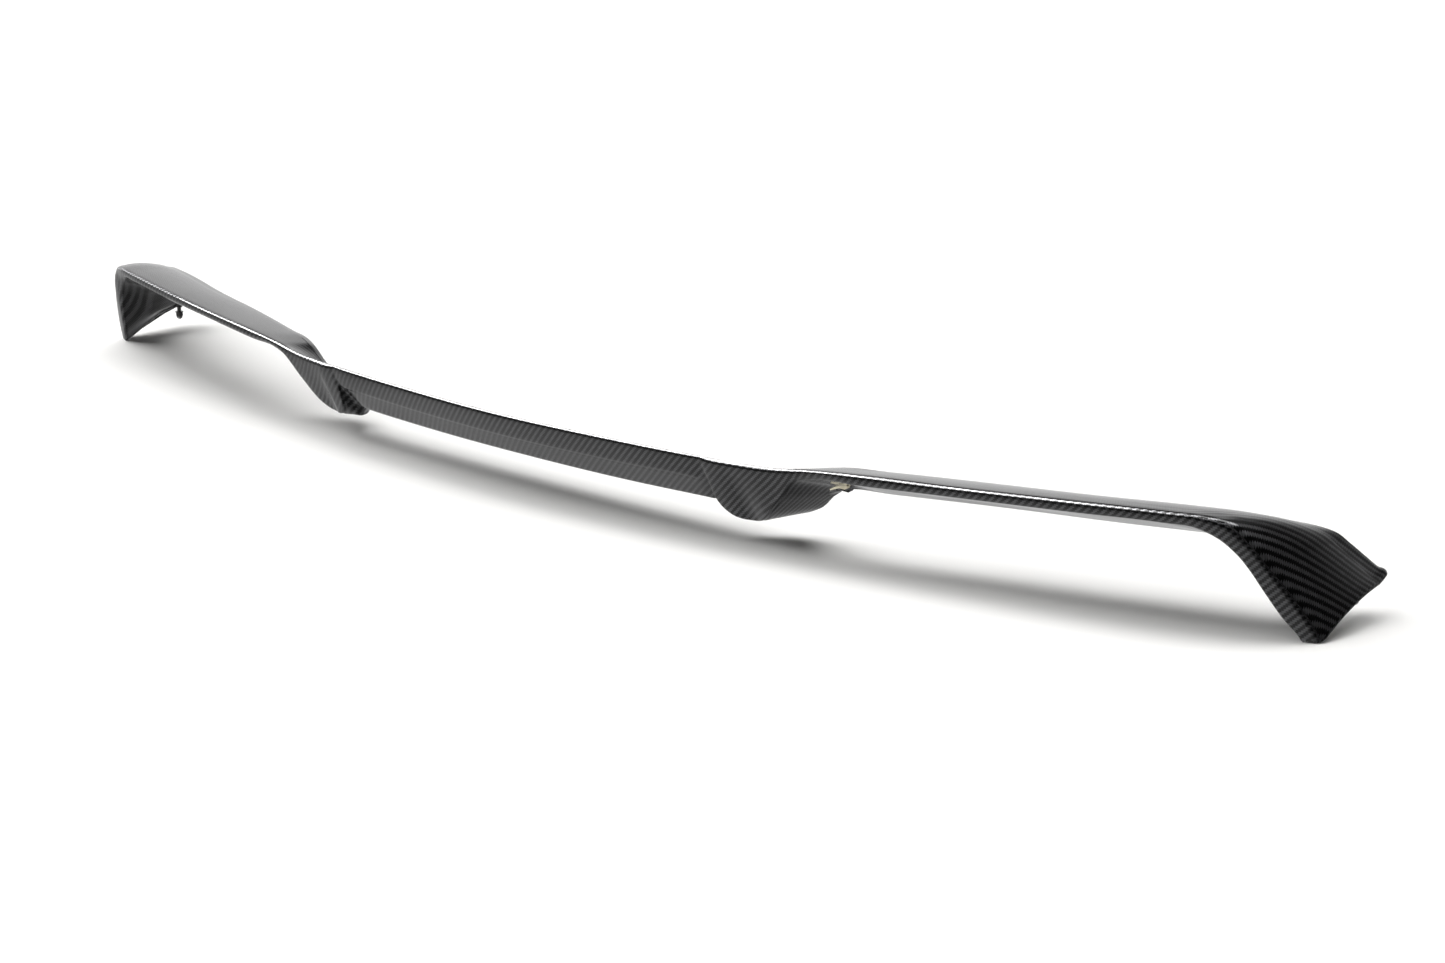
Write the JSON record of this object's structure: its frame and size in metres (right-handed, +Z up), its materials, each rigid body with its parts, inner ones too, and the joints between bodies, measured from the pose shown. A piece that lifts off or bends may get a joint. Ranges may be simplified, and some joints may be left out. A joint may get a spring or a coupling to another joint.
{
  "type": "racing rear wing",
  "caption": "Low full-width rear boot-lid wing in glossy twill carbon: a thin swept blade on leaning end feet and inner legs, with stud and threaded-insert fixings.",
  "frame": {"origin": "on the ground plane under the middle of the wing's bounding box", "axes": "+X to the car's right along the span, +Y forward, +Z up; the part is mirror-symmetric about X = 0"},
  "size_m": [1.6892, 0.2806, 0.1095],
  "materials": {
    "carbon": "gloss clear-coated 2x2 twill carbon fibre",
    "foam": "closed-cell structural foam",
    "aluminium": "machined",
    "steel": "dark plated steel"
  },
  "bodies": {
    "wing": {"upper_skin": "carbon", "lower_skin_centre": "carbon", "lower_skin_left": "carbon", "lower_skin_right": "carbon", "leg_shell_left": "carbon", "leg_shell_right": "carbon", "foot_sole_left": "carbon", "foot_sole_right": "carbon", "core_centre": "foam", "core_leg_left": "foam", "core_leg_right": "foam", "core_left": "foam", "core_right": "foam", "leg_plate_left": "aluminium", "leg_plate_right": "aluminium", "leg_insert_left": "steel", "leg_insert_right": "steel", "foot_plate_left": "aluminium", "foot_plate_right": "aluminium", "foot_stud_left": "steel", "foot_stud_right": "steel"},
    "washer_left": {"washer_left": "steel"},
    "nut_left": {"cap_nut_left": "steel"},
    "washer_right": {"washer_right": "steel"},
    "nut_right": {"cap_nut_right": "steel"}
  },
  "joints": [
    {"name": "nut_left_travel", "type": "slide", "parent": "wing", "child": "washer_left", "axis": [0, 0, -1], "range_m": [-0.0024, 0.012]},
    {"name": "nut_left_turn", "type": "hinge", "parent": "washer_left", "child": "nut_left", "pos_m": [-0.827, 0.1061, 0.03], "axis": [0, 0, -1], "range_deg": [-1080.5, 5400.5]},
    {"name": "nut_right_travel", "type": "slide", "parent": "wing", "child": "washer_right", "axis": [0, 0, -1], "range_m": [-0.0024, 0.012]},
    {"name": "nut_right_turn", "type": "hinge", "parent": "washer_right", "child": "nut_right", "pos_m": [0.827, 0.1061, 0.03], "axis": [0, 0, -1], "range_deg": [-1080.5, 5400.5]}
  ],
  "couplings": [
    {"joint": "nut_left_turn", "follows": "nut_left_travel", "rad_per_m": 7854},
    {"joint": "nut_right_turn", "follows": "nut_right_travel", "rad_per_m": 7854}
  ]
}
